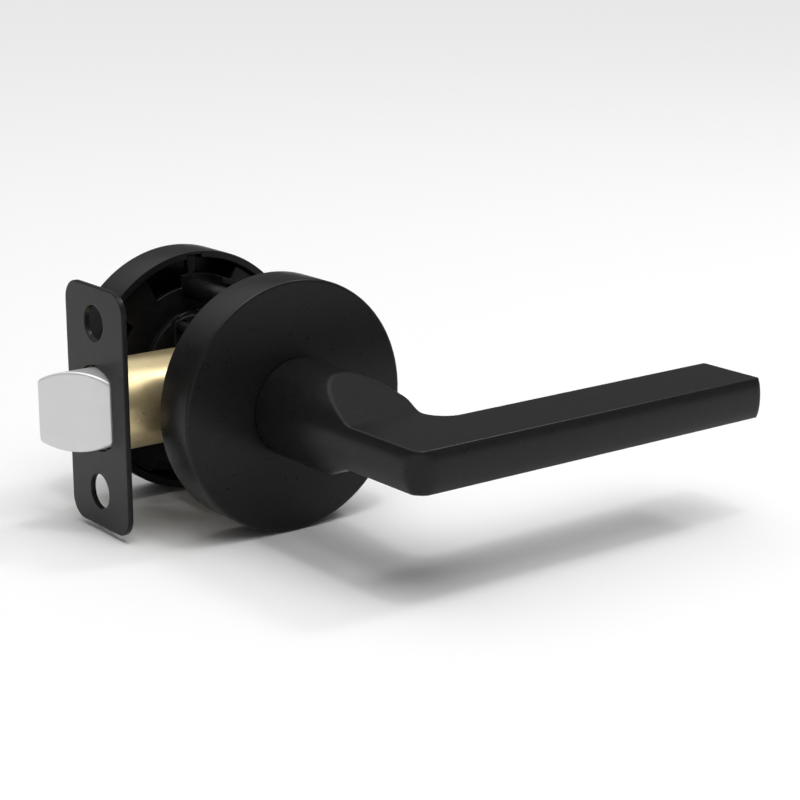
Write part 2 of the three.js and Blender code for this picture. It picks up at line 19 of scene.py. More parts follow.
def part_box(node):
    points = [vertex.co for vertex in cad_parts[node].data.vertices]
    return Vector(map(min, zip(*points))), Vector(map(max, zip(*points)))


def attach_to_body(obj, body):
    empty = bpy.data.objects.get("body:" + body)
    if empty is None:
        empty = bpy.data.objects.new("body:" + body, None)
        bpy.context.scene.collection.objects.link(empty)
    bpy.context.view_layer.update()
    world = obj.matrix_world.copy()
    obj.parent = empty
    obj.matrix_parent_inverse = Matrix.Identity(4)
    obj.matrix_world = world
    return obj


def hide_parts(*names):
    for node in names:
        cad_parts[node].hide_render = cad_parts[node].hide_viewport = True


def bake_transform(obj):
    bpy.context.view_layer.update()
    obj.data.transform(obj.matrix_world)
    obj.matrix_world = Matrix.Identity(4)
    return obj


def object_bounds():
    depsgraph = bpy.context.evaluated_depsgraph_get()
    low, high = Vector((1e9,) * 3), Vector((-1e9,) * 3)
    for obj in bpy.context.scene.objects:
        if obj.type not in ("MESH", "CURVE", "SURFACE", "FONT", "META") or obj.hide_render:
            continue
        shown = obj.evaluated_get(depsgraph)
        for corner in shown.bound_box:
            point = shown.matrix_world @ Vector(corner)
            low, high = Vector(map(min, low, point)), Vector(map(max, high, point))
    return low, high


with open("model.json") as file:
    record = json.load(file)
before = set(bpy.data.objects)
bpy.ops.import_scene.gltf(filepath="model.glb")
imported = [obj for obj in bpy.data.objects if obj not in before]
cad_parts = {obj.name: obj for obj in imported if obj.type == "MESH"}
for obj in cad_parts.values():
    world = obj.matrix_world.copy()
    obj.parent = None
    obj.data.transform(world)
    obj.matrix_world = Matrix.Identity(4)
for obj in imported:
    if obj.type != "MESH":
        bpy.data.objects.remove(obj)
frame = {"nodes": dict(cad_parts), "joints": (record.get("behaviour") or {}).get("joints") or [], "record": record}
cad_low, cad_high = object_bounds()

MM = 0.001
X, Y, Z = 0, 1, 2
FRONT = -1  # the side of the door that faces -Y
REAR = 1
TWO_PI = 2 * math.pi
GAP = 0.3  # clearance between pieces that face each other, in millimetres


def span(node, axis):
    """Lowest and highest coordinate of a CAD node along an axis, in millimetres."""
    low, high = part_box(node)
    return low[axis] / MM, high[axis] / MM


def centre_and_half(node, axis):
    """Middle and half the width of a CAD node along an axis, in millimetres."""
    low, high = span(node, axis)
    return (low + high) / 2, (high - low) / 2


# ---- camera

CAMERA_TARGET = Vector((0.05625, 0.0, -0.014))
CAMERA_AZIMUTH = math.radians(-37.57)
CAMERA_ELEVATION = math.radians(15.21)
CAMERA_DISTANCE = 0.58681
CAMERA_LENS = 92.93


def linked(name, data):
    made = bpy.data.objects.new(name, data)
    bpy.context.scene.collection.objects.link(made)
    return made


def aim(thing, direction):
    thing.rotation_mode = "QUATERNION"
    thing.rotation_quaternion = direction.to_track_quat("-Z", "Y")


def make_camera():
    data = bpy.data.cameras.new("camera")
    data.lens = CAMERA_LENS
    data.sensor_width = 36
    data.clip_start = 0.01
    data.clip_end = 50
    camera = linked("camera", data)
    level = math.cos(CAMERA_ELEVATION)
    across, along = math.sin(CAMERA_AZIMUTH) * level, -math.cos(CAMERA_AZIMUTH) * level
    back = Vector((across, along, math.sin(CAMERA_ELEVATION)))
    camera.location = CAMERA_TARGET + back * CAMERA_DISTANCE
    aim(camera, -back)
    bpy.context.scene.camera = camera


# ---- outlines, in millimetres


def arc(cx, cy, radius, start, end, count):
    """Points on an arc, angles in degrees, both ends included."""
    angles = np.radians(np.linspace(start, end, count + 1))
    return [(cx + radius * math.cos(a), cy + radius * math.sin(a)) for a in angles]


def circle(cx, cy, radius, count=48):
    return arc(cx, cy, radius, 0, 360, count)[:-1]


NEARLY_STRAIGHT = 0.01  # a corner that turns less than this, in radians, stays as it is
SIDE_SHARE = 0.49  # most of a side that one rounded corner may take


def rounded(points, radius, count=6):
    """A closed outline with its corners rounded. radius is one number or one for each corner."""
    radii = [radius] * len(points) if np.isscalar(radius) else list(radius)
    made = []
    for i, point in enumerate(points):
        before = np.array(points[i - 1], float)
        corner = np.array(point, float)
        after = np.array(points[(i + 1) % len(points)], float)
        if radii[i] <= 0:
            made.append(tuple(corner))
            continue
        a = before - corner
        b = after - corner
        a_length, b_length = np.linalg.norm(a), np.linalg.norm(b)
        a, b = a / a_length, b / b_length
        half = math.acos(np.clip(a @ b, -1, 1)) / 2
        if math.pi / 2 - half < NEARLY_STRAIGHT:
            made.append(tuple(corner))
            continue
        reach = min(radii[i] / math.tan(half), SIDE_SHARE * a_length, SIDE_SHARE * b_length)
        size = reach * math.tan(half)
        bisector = (a + b) / np.linalg.norm(a + b)
        centre = corner + bisector * (size / math.sin(half))
        start, end = corner + a * reach - centre, corner + b * reach - centre
        turn = math.atan2(start[0] * end[1] - start[1] * end[0], start @ end)
        for k in range(count + 1):
            c, s = math.cos(turn * k / count), math.sin(turn * k / count)
            x, y = c * start[0] - s * start[1], s * start[0] + c * start[1]
            made.append((centre[0] + x, centre[1] + y))
    return made


def rectangle(x0, x1, y0, y1):
    return [(x0, y0), (x1, y0), (x1, y1), (x0, y1)]


def stepped_disc(start, steps, step_degrees=2.5):
    """An outline whose radius steps: (end angle, radius) each, in degrees."""
    points = []
    for end, radius in steps:
        points += arc(0, 0, radius, start, end, max(1, round((end - start) / step_degrees)))
        start = end
    return points


def ring_sector(inner, outer, start, end, count=48):
    return arc(0, 0, outer, start, end, count) + arc(0, 0, inner, end, start, count)


def is_anticlockwise(points):
    p = np.array(points, float)
    q = np.roll(p, -1, axis=0)
    return float(np.sum(p[:, 0] * q[:, 1] - p[:, 1] * q[:, 0])) > 0


# ---- mesh builders


SQUARE_FACE = 0.9999995  # how squarely a face looks along an axis before it counts as flat
MERGE_DISTANCE = 1e-7  # metres
ON_AXIS = 1e-9  # millimetres
CRISP = 0.01  # edge of the tools that only cut
DOME_SHARES = (0.5, 0.87)  # where a wire's end dome has its rings, as shares of the radius
ROWS_PER_PITCH = 6
THREAD_CHAMFER = 0.25


def mesh_object(name, points, faces, sharp=35):
    """points are in millimetres. Edges that turn more than sharp degrees stay crisp."""
    mesh = bpy.data.meshes.new(name)
    mesh.from_pydata([tuple(float(c) * MM for c in p) for p in points], [], [tuple(f) for f in faces])
    return tidy(linked(name, mesh), sharp)


def shade(mesh, sharp):
    """Curved faces are shaded smooth up to the sharp angle, and faces square to an axis flat."""
    mesh.shade_smooth()
    mesh.set_sharp_from_angle(angle=math.radians(sharp))
    normals = np.empty(len(mesh.polygons) * 3)
    mesh.polygons.foreach_get("normal", normals)
    square = np.abs(normals.reshape(-1, 3)).max(axis=1) > SQUARE_FACE
    mesh.polygons.foreach_set("use_smooth", ~square)
    mesh.update()


def tidy(made, sharp=35):
    """Merges doubled points, turns all faces outwards and shades them."""
    work = bmesh.new()
    work.from_mesh(made.data)
    bmesh.ops.remove_doubles(work, verts=work.verts, dist=MERGE_DISTANCE)
    bmesh.ops.dissolve_degenerate(work, edges=work.edges, dist=MERGE_DISTANCE)
    bmesh.ops.recalc_face_normals(work, faces=work.faces)
    work.to_mesh(made.data)
    work.free()
    shade(made.data, sharp)
    return made


def place_along_y(u, v, w):
    """Outline in X and Z, thickness along Y."""
    return (u, w, v)


def place_along_x(u, v, w):
    """Outline in Y and Z, thickness along X."""
    return (w, u, v)


def place_along_z(u, v, w):
    """Outline in X and Y, thickness along Z."""
    return (u, v, w)


def slab(name, outlines, low, high, place=place_along_y, edge=0.15, edge_steps=3, sharp=35):
    """A plate: the first outline less the others, from low to high, with rounded edges."""
    points, faces, rims = [], [], {0: [], 1: []}
    quarter = [math.pi / 2 * k / edge_steps for k in range(edge_steps + 1)]
    levels = [(edge * (1 - math.sin(a)), low + edge * (1 - math.cos(a))) for a in quarter]
    levels += [(edge * (1 - math.cos(a)), high - edge * (1 - math.sin(a))) for a in quarter]
    for number, outline in enumerate(outlines):
        if is_anticlockwise(outline) != (number == 0):
            outline = outline[::-1]
        p = np.array(outline, float)
        ahead = np.roll(p, -1, axis=0) - p
        ahead /= np.linalg.norm(ahead, axis=1)[:, None]
        normal = np.stack([-ahead[:, 1], ahead[:, 0]], axis=1)
        behind = np.roll(normal, 1, axis=0)
        inward = (normal + behind) / (1 + np.sum(normal * behind, axis=1))[:, None]
        count = len(p)
        base = len(points)
        for offset, height in levels:
            points += [place(u, v, height) for u, v in p + inward * offset]
        for ring in range(len(levels) - 1):
            for i in range(count):
                a, b = base + ring * count + i, base + ring * count + (i + 1) % count
                faces.append((a, b, b + count, a + count))
        flat = p + inward * levels[0][0]
        rims[0].append([(base + i, flat[i]) for i in range(count)])
        top = base + (len(levels) - 1) * count
        rims[1].append([(top + i, flat[i]) for i in range(count)])
    for rim in rims.values():
        numbers = [n for loop in rim for n, _ in loop]
        loops = [[Vector((q[0], q[1], 0)) for _, q in loop] for loop in rim]
        faces += [tuple(numbers[i] for i in triangle) for triangle in tessellate_polygon(loops)]
    return mesh_object(name, points, faces, sharp)


def upright(x, z):
    """Places a turned piece on an axis along Y through x and z."""
    return lambda a, b, height: (a + x, height, b + z)


def turned(name, profile, segments=128, place=upright(0, 0), sharp=35):
    """A profile of (radius, height) points turned about the height axis. A profile that starts and
    ends at radius 0 is solid, and any other one is a closed ring."""
    solid = profile[0][0] < ON_AXIS
    points, faces, rows = [], [], []
    for radius, height in profile:
        if radius < ON_AXIS:
            rows.append([len(points)])
            points.append(place(0, 0, height))
            continue
        rows.append(list(range(len(points), len(points) + segments)))
        for i in range(segments):
            angle = TWO_PI * i / segments
            points.append(place(radius * math.cos(angle), radius * math.sin(angle), height))
    pairs = list(zip(rows, rows[1:]))
    if not solid:
        pairs.append((rows[-1], rows[0]))
    for first, second in pairs:
        for i in range(segments):
            j = (i + 1) % segments
            if len(first) == 1 and len(second) == 1:
                continue
            if len(first) == 1:
                faces.append((first[0], second[j], second[i]))
            elif len(second) == 1:
                faces.append((first[i], first[j], second[0]))
            else:
                faces.append((first[i], first[j], second[j], second[i]))
    return mesh_object(name, points, faces, sharp)


def wire(name, path, radius, sides=12):
    """A round wire along the points, with domed ends."""
    p = np.array(path, float)
    tangent = np.gradient(p, axis=0)
    tangent /= np.linalg.norm(tangent, axis=1)[:, None]
    side = np.cross(tangent[0], (0.0, 1.0, 0.0))
    if np.linalg.norm(side) < 0.1:
        side = np.cross(tangent[0], (1.0, 0.0, 0.0))
    rings = []
    for i in range(len(p)):
        side = side - tangent[i] * (side @ tangent[i])
        side /= np.linalg.norm(side)
        rings.append((p[i], side, np.cross(tangent[i], side), radius))
    for end, direction in ((0, -1), (-1, 1)):
        centre, a, b, _ = rings[end]
        for share in DOME_SHARES:
            shrunk = radius * math.sqrt(1 - share * share)
            cap = (centre + direction * tangent[end] * radius * share, a, b, shrunk)
            rings.insert(0 if end == 0 else len(rings), cap)
    points, faces = [], []
    for centre, a, b, size in rings:
        for k in range(sides):
            angle = TWO_PI * k / sides
            points.append(centre + size * (math.cos(angle) * a + math.sin(angle) * b))
    for i in range(len(rings) - 1):
        for k in range(sides):
            n = (k + 1) % sides
            faces.append((i * sides + k, i * sides + n, (i + 1) * sides + n, (i + 1) * sides + k))
    faces.append(tuple(range(sides)))
    faces.append(tuple(range((len(rings) - 1) * sides, len(rings) * sides)))
    return mesh_object(name, points, faces, 60)


def thread(name, radius, depth, pitch, start, end, x, z, segments=24):
    """A threaded stem along Y, with the helical ridge in its surface."""
    rows = int((end - start) / pitch * ROWS_PER_PITCH)
    points, faces = [(x, start, z)], []
    for row in range(rows + 1):
        height = start + (end - start) * row / rows
        for i in range(segments):
            angle = TWO_PI * i / segments
            phase = (height / pitch - i / segments) % 1.0
            fade = min(1.0, row / ROWS_PER_PITCH, (rows - row) / ROWS_PER_PITCH)
            chamfer = THREAD_CHAMFER if row in (0, rows) else 0
            size = radius - depth * (1 - abs(2 * phase - 1)) * fade - chamfer
            points.append((x + size * math.cos(angle), height, z + size * math.sin(angle)))
    points.append((x, end, z))
    for i in range(segments):
        j = (i + 1) % segments
        faces.append((0, 1 + i, 1 + j))
        for row in range(rows):
            a, b = 1 + row * segments, 1 + (row + 1) * segments
            faces.append((a + i, a + j, b + j, b + i))
        last = 1 + rows * segments
        faces.append((len(points) - 1, last + j, last + i))
    return mesh_object(name, points, faces, 50)


def combine(target, tool, operation, sharp=35):
    """Joins the tool to the target or cuts it away, and deletes the tool."""
    modifier = target.modifiers.new("combine", "BOOLEAN")
    modifier.operation = operation
    modifier.object = tool
    modifier.solver = "EXACT"
    bpy.context.view_layer.update()
    evaluated = target.evaluated_get(bpy.context.evaluated_depsgraph_get())
    mesh = bpy.data.meshes.new_from_object(evaluated)
    old = target.data
    target.modifiers.clear()
    target.data = mesh
    bpy.data.meshes.remove(old)
    mesh.name = target.name
    tool_mesh = tool.data
    bpy.data.objects.remove(tool)
    bpy.data.meshes.remove(tool_mesh)
    shade(mesh, sharp)


def cut(target, outline, low, high, place=place_along_y, sharp=35):
    """Cuts a prism with crisp edges out of the target."""
    combine(target, slab("tool", [outline], low, high, place, CRISP), "DIFFERENCE", sharp)


def mirrored(source, name):
    """The mirror image of a piece across the door's mid-plane, faces turned outwards."""
    mesh = source.data.copy()
    mesh.name = name
    co = np.zeros(len(mesh.vertices) * 3, np.float32)
    mesh.vertices.foreach_get("co", co)
    co[1::3] *= -1
    mesh.vertices.foreach_set("co", co)
    mesh.flip_normals()
    return linked(name, mesh)


# ---- rounded solids from a field


def outline_distance(points, u, v):
    """Signed distance from (u, v) to a closed outline, negative inside."""
    u, v = np.broadcast_arrays(u, v)
    best = np.full(u.shape, 1e9)
    inside = np.zeros(u.shape, bool)
    for (ax, ay), (bx, by) in zip(points, points[1:] + points[:1]):
        ex, ey = bx - ax, by - ay
        length = ex * ex + ey * ey
        if length < 1e-12:
            continue
        wx, wy = u - ax, v - ay
        share = np.clip((wx * ex + wy * ey) / length, 0, 1)
        best = np.minimum(best, (wx - ex * share) ** 2 + (wy - ey * share) ** 2)
        if ay != by:
            crosses = (ay > v) != (by > v)
            inside ^= crosses & (u < ex * (v - ay) / ey + ax)
    distance = np.sqrt(best)
    return np.where(inside, -distance, distance)


def rounded_common(a, b, radius):
    """The common part of two fields, with its edges rounded."""
    u, v = np.maximum(a + radius, 0), np.maximum(b + radius, 0)
    return np.minimum(-radius, np.maximum(a, b)) + np.sqrt(u * u + v * v)


def grid_line(marks):
    """Grid coordinates from (start, end, spacing) stretches that follow each other."""
    made = [marks[0][0]]
    for start, end, spacing in marks:
        count = max(1, round((end - start) / spacing))
        made += [start + (end - start) * (k + 1) / count for k in range(count)]
    return np.array(made)


def field_solid(name, field, xs, ys, zs, relax=2):
    """A closed mesh on the surface where field(x, y, z) is 0, with even four-sided faces."""
    value = field(xs[:, None, None], ys[None, :, None], zs[None, None, :])
    inside = value < 0
    shape = np.array(inside.shape)
    total = np.zeros((*(shape - 1), 3))
    hits = np.zeros(shape - 1)
    lines = (xs, ys, zs)
    crossings = []
    for axis in range(3):
        a, b = np.delete(value, -1, axis), np.delete(value, 0, axis)
        where = np.argwhere((a < 0) != (b < 0))
        va, vb = a[tuple(where.T)], b[tuple(where.T)]
        share = va / (va - vb)
        spot = np.stack([lines[k][where[:, k]] for k in range(3)], axis=1)
        step = lines[axis][where[:, axis] + 1] - lines[axis][where[:, axis]]
        spot[:, axis] += share * step
        first, second = [k for k in range(3) if k != axis]
        cells = []
        for i, j in ((0, 0), (1, 0), (1, 1), (0, 1)):
            cell = where.copy()
            cell[:, first] -= i
            cell[:, second] -= j
            np.add.at(total, tuple(cell.T), spot)
            np.add.at(hits, tuple(cell.T), 1)
            cells.append(cell)
        crossings.append(cells)
    used = hits > 0
    number = np.full(shape - 1, -1)
    number[used] = np.arange(int(used.sum()))
    points = total[used] / hits[used][:, None]
    quads = [np.stack([number[tuple(cell.T)] for cell in cells], axis=1) for cells in crossings]
    quads = np.concatenate(quads)
    points = settle(points, quads, field, relax)
    return mesh_object(name, points, quads.tolist(), 50)


PROBE = 1e-3  # how far the field's slope is measured, in millimetres
LONGEST_STEP = 0.3  # of a point on its way to the surface
LEAST_SLOPE = 0.2  # guards the division where the field is almost flat


def settle(points, quads, field, relax):
    """Evens the points out along the surface and puts each one exactly on it."""

    def onto(p):
        for _ in range(3):
            value = field(p[:, 0], p[:, 1], p[:, 2])
            changes = [field(*(p + PROBE * np.eye(3)[k]).T) - value for k in range(3)]
            slope = np.stack(changes, axis=1) / PROBE
            size = np.maximum(np.sum(slope * slope, axis=1), LEAST_SLOPE)
            p = p - slope * np.clip(value / size, -LONGEST_STEP, LONGEST_STEP)[:, None]
        return p

    points = onto(points)
    for _ in range(relax):
        total = np.zeros_like(points)
        hits = np.zeros(len(points))
        for k in range(4):
            a, b = quads[:, k], quads[:, (k + 1) % 4]
            np.add.at(total, a, points[b])
            np.add.at(total, b, points[a])
            np.add.at(hits, a, 1)
            np.add.at(hits, b, 1)
        points = onto(0.5 * points + 0.5 * total / hits[:, None])
    return points


# ---- materials

# Each row: two colours, the scale and detail of their patches, the scale and range of the roughness,
# the metallic share, the grain's scale, detail and stretch, its strength and depth, other sockets.
PLAIN_FINISHES = {
    # powder coat with a very small orange peel
    "satin_black": (
        ((0.009, 0.009, 0.0092), (0.0115, 0.0115, 0.0117)), (700, 4), (350, 0.27, 0.33), 0.0,
        (700, 2), (0.02, 0.00005), {"Specular IOR Level": 0.2},
    ),
    # black plated pressings, darker, with faint rolling marks
    "black_steel": (
        ((0.005, 0.005, 0.0052), (0.009, 0.009, 0.0092)), (500, 4), (260, 0.3, 0.4), 0.0,
        (600, 3, (1, 1, 9)), (0.04, 0.00005), {"Specular IOR Level": 0.22},
    ),
    # plated bolt with soft reflections and very fine rubbing marks along its travel
    "polished_nickel": (
        ((0.76, 0.76, 0.756), (0.745, 0.745, 0.741)), (150, 4), (420, 0.36, 0.42), 0.5,
        (1500, 3, (0.06, 2, 2)), (0.01, 0.00002), {},
    ),
    # drawn wire, grey, with a slight oil stain
    "spring_steel": (
        ((0.42, 0.43, 0.45), (0.26, 0.255, 0.25)), (400, 5), (1500, 0.26, 0.40), 1.0,
        (5000, 3), (0.12, 0.00003), {},
    ),
    # moulded, off-white, slightly waxy
    "nylon": (
        ((0.78, 0.76, 0.69), (0.72, 0.70, 0.62)), (200, 4), (900, 0.42, 0.55), 0.0,
        (2500, 4), (0.12, 0.00005), {"Subsurface Weight": 0.1, "Subsurface Scale": 0.001},
    ),
}
BRASS_COLOURS = ((0.80, 0.66, 0.38), (0.74, 0.60, 0.33))
TARNISH_COLOUR = (0.55, 0.43, 0.22)
ZINC_COLOURS = ((0.60, 0.61, 0.63), (0.50, 0.51, 0.53))
ZINC_EDGE_COLOUR = (0.72, 0.72, 0.73)


def new_material(name):
    material = bpy.data.materials.new(name)
    material.use_nodes = True
    tree = material.node_tree
    shader = tree.nodes["Principled BSDF"]
    return material, tree, shader


def noise(tree, scale, detail=4, stretch=None):
    """Noise in the part's own coordinates. scale is in features per metre."""
    place = tree.nodes.new("ShaderNodeTexCoord")
    made = tree.nodes.new("ShaderNodeTexNoise")
    made.inputs["Scale"].default_value = scale
    made.inputs["Detail"].default_value = detail
    source = place.outputs["Object"]
    if stretch:
        mapping = tree.nodes.new("ShaderNodeMapping")
        mapping.inputs["Scale"].default_value = stretch
        tree.links.new(source, mapping.inputs["Vector"])
        source = mapping.outputs["Vector"]
    tree.links.new(source, made.inputs["Vector"])
    return made.outputs["Fac"]


def ranged(tree, source, low, high, from_low=0.3, from_high=0.7):
    made = tree.nodes.new("ShaderNodeMapRange")
    made.inputs["From Min"].default_value = from_low
    made.inputs["From Max"].default_value = from_high
    made.inputs["To Min"].default_value = low
    made.inputs["To Max"].default_value = high
    tree.links.new(source, made.inputs["Value"])
    return made.outputs["Result"]


def blended(tree, factor, first, second):
    made = tree.nodes.new("ShaderNodeMix")
    made.data_type = "RGBA"
    tree.links.new(factor, made.inputs["Factor"])
    for socket, colour in ((made.inputs[6], first), (made.inputs[7], second)):
        if hasattr(colour, "is_output"):
            tree.links.new(colour, socket)
        else:
            socket.default_value = (*colour, 1)
    return made.outputs[2]


def bump(tree, shader, source, strength, distance):
    """Turns a height output into bumps. distance is in metres."""
    made = tree.nodes.new("ShaderNodeBump")
    made.inputs["Strength"].default_value = strength
    made.inputs["Distance"].default_value = distance
    tree.links.new(source, made.inputs["Height"])
    tree.links.new(made.outputs["Normal"], shader.inputs["Normal"])


def mottled(tree, colours, scale, detail=4):
    """Two colours in soft patches."""
    return blended(tree, ranged(tree, noise(tree, scale, detail), 0, 1), *colours)


def dress(tree, shader, colour, roughness, metallic=0.0):
    tree.links.new(colour, shader.inputs["Base Color"])
    tree.links.new(roughness, shader.inputs["Roughness"])
    shader.inputs["Metallic"].default_value = metallic


def arithmetic(tree, operation, first, second):
    made = tree.nodes.new("ShaderNodeMath")
    made.operation = operation
    tree.links.new(first, made.inputs[0])
    tree.links.new(second, made.inputs[1])
    return made.outputs[0]


def worn_edges(tree, low=0.53, high=0.62):
    """1 on convex edges and 0 on flat faces, broken up by noise."""
    geometry = tree.nodes.new("ShaderNodeNewGeometry")
    edge = ranged(tree, geometry.outputs["Pointiness"], 0, 1, low, high)
    patches = ranged(tree, noise(tree, 900, 5), 0.15, 1)
    return arithmetic(tree, "MULTIPLY", edge, patches)


def plain_finish(name, colours, patches, roughness, metallic, grain, relief, extras):
    material, tree, shader = new_material(name)
    scale, low, high = roughness
    colour = mottled(tree, colours, *patches)
    dress(tree, shader, colour, ranged(tree, noise(tree, scale), low, high), metallic)
    for socket, value in extras.items():
        shader.inputs[socket].default_value = value
    bump(tree, shader, noise(tree, *grain), *relief)
    return material


def brass():
    """Drawn brass: warm, fine lines along the tube, and a faint tarnish."""
    material, tree, shader = new_material("brass")
    tarnish = ranged(tree, noise(tree, 45, 6), 0, 0.35, 0.5, 0.8)
    colour = blended(tree, tarnish, mottled(tree, BRASS_COLOURS, 120), TARNISH_COLOUR)
    dress(tree, shader, colour, ranged(tree, noise(tree, 300), 0.27, 0.32), 0.8)
    bump(tree, shader, noise(tree, 900, 3, stretch=(0.04, 3, 3)), 0.03, 0.00003)
    return material


def zinc_plate():
    """Bright zinc plate with its faint crystal patches."""
    material, tree, shader = new_material("zinc_plate")
    cells = tree.nodes.new("ShaderNodeTexVoronoi")
    cells.inputs["Scale"].default_value = 1400
    place = tree.nodes.new("ShaderNodeTexCoord")
    tree.links.new(place.outputs["Object"], cells.inputs["Vector"])
    patch = ranged(tree, cells.outputs["Distance"], 0, 1, 0, 0.8)
    colour = blended(tree, worn_edges(tree), blended(tree, patch, *ZINC_COLOURS), ZINC_EDGE_COLOUR)
    dress(tree, shader, colour, ranged(tree, noise(tree, 800), 0.28, 0.42), 1.0)
    bump(tree, shader, noise(tree, 3000, 3), 0.10, 0.00004)
    return material


materials = {name: plain_finish(name, *row) for name, row in PLAIN_FINISHES.items()}
materials |= {"brass": brass(), "zinc_plate": zinc_plate()}

# ---- attaching pieces


def attach(piece, node, body, finish):
    """The piece stands for the CAD node, moves with its body and takes the finish."""
    piece.data.materials.clear()
    piece.data.materials.append(materials[finish])
    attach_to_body(piece, body)
    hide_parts(node)


def attach_pair(front, name, body, finish):
    """A front piece and its mirror image behind the door."""
    rear = mirrored(front, "rear_" + name + "_piece")
    attach(front, "front_" + name, body, finish)
    attach(rear, "rear_" + name, body, finish)


# ---- roses

ROSE_WALL = 2.0
ROSE_FACE = 2.3
ROSE_BORE = 10.2
ROSE_EDGE = 0.8
NOTCH_HALF = 2.3
NOTCH_FLOOR = -21.7
NOTCH_REACH = 32.1


def make_roses():
    face, rim = span("front_rose", Y)
    radius = span("front_rose", Z)[1]
    inner = radius - ROSE_WALL
    floor = face + ROSE_FACE
    corners = [(ROSE_BORE, face), (radius, face), (radius, rim)]
    corners += [(inner, rim), (inner, floor), (ROSE_BORE, floor)]
    profile = rounded(corners, [0.35, ROSE_EDGE, 0.25, 0.25, 1.2, 0.2], 6)
    rose = turned("front_rose_piece", profile, 192)
    outline = rounded(rectangle(-NOTCH_HALF, NOTCH_HALF, NOTCH_FLOOR, rim + 2), 0.5)
    cut(rose, outline, inner - 1, NOTCH_REACH, place_along_z)
    attach_pair(rose, "rose", "door_set", "satin_black")


# ---- lever and rear cap

SHANK_RADIUS = 13.0
CUT_START = 48.9
CUT_END = 65.2
CUT_END_HEIGHT = 6.4
FLAT_START = 69.5
BAR_CROWN = 1.3
BAR_BACK = 75.5
BAR_HALF = 5.45
ELBOW = 7.0
INNER_FILLET = 6.5
NECK_SIDE = 10.2
EDGE_ROUND = 0.85
NECK_ROUND = 0.35
BASE_ROUND = 0.3
JOURNAL_RADIUS = 9.7
JOURNAL_FLAT = 8.0
JOURNAL_FLAT_DEPTH = 14.9
JOURNAL_CHAMFER = 0.3
GROOVE = (11.15, 12.45)
GROOVE_DEPTH = 0.9
CAP_EDGE = 0.7
SOCKET_HALF = 3.85
SOCKET_DEPTH = 54.0
CAP_SOCKET_DEPTH = 29.0
SCREW_HOLE = 2.6
SCREW_DEPTH = 37.0


PLAN_MARGIN = 0.05  # the outlines stand this far outside the round shank, which then bounds it


def lever_plan(start, front, tip):
    """Seen from above, in X and depth: shank, outer elbow, bar and tip."""
    plan = [(-SHANK_RADIUS - PLAN_MARGIN, start)]
    plan += arc(-SHANK_RADIUS + ELBOW, front - ELBOW, ELBOW, 180, 90, 20)
    plan += arc(tip - 1, front - 1, 1, 90, 0, 4)
    plan += arc(tip - 1, BAR_BACK + 1, 1, 0, -90, 4)
    plan += arc(NECK_SIDE + INNER_FILLET, BAR_BACK - INNER_FILLET, INNER_FILLET, 90, 180, 16)
    plan += [(SHANK_RADIUS + PLAN_MARGIN, CUT_START - 6), (SHANK_RADIUS + PLAN_MARGIN, start)]
    return plan


def lever_side(start, front):
    """Seen along X, in depth and Z: round shank, sloping cuts, thin bar with a crowned front."""
    corner = front - BAR_CROWN
    crown_radius = (BAR_HALF**2 + BAR_CROWN**2) / (2 * BAR_CROWN)
    crown = math.degrees(math.asin(BAR_HALF / crown_radius))
    blend = []
    for k in range(9):
        t = k / 8
        depth = (1 - t) ** 2 * CUT_END + 2 * t * (1 - t) * (CUT_END + 2) + t * t * FLAT_START
        height = (1 - t) ** 2 * CUT_END_HEIGHT + 2 * t * (1 - t) * BAR_HALF + t * t * BAR_HALF
        blend.append((depth, height))
    shoulder = SHANK_RADIUS + PLAN_MARGIN
    top = [(start, shoulder), (CUT_START, shoulder), *blend, (corner, BAR_HALF)]
    nose = arc(corner + BAR_CROWN - crown_radius, 0, crown_radius, crown, -crown, 16)[1:-1]
    return top + nose + [(depth, -height) for depth, height in reversed(top)]


def make_journal(start, end):
    """The stub that turns in the bushing, with its snap ring groove and drive flats."""
    groove_start, groove_end = GROOVE
    radius, groove_radius = JOURNAL_RADIUS, JOURNAL_RADIUS - GROOVE_DEPTH
    profile = [(0, -start), (radius, -start), (radius, -groove_end), (groove_radius, -groove_end)]
    profile += [(groove_radius, -groove_start), (radius, -groove_start)]
    profile += [(radius, -end - JOURNAL_CHAMFER), (radius - JOURNAL_CHAMFER, -end), (0, -end)]
    journal = turned("journal", profile, 96)
    for side_sign in (-1, 1):
        near, far = sorted((side_sign * JOURNAL_FLAT, side_sign * (JOURNAL_RADIUS + 1)))
        outline = rectangle(near, far, -JOURNAL_RADIUS - 1, JOURNAL_RADIUS + 1)
        cut(journal, outline, -JOURNAL_FLAT_DEPTH, 0)
    return journal


def cut_socket(piece, low, high, sharp=35):
    """The square hole that the spindle fits."""
    outline = rounded(rectangle(*[-SOCKET_HALF, SOCKET_HALF] * 2), 0.3, 2)
    cut(piece, outline, low, high, sharp=sharp)


def make_rear_cap():
    end, outer = span("rear_cap", Y)
    radius = span("rear_cap", Z)[1]
    seat = span("rear_rose", Y)[1] + GAP
    corners = [(0, -outer), (radius, -outer), (radius, -seat), (0, -seat)]
    profile = rounded(corners, [0, CAP_EDGE, 0.2, 0], 6)
    disc = turned("front_rear_cap", profile, 128)
    combine(disc, make_journal(seat + 1, end), "UNION")
    cut_socket(disc, -CAP_SOCKET_DEPTH, 0)
    piece = mirrored(disc, "rear_cap_piece")
    bpy.data.objects.remove(disc)
    attach(piece, "rear_cap", "lever_set", "satin_black")


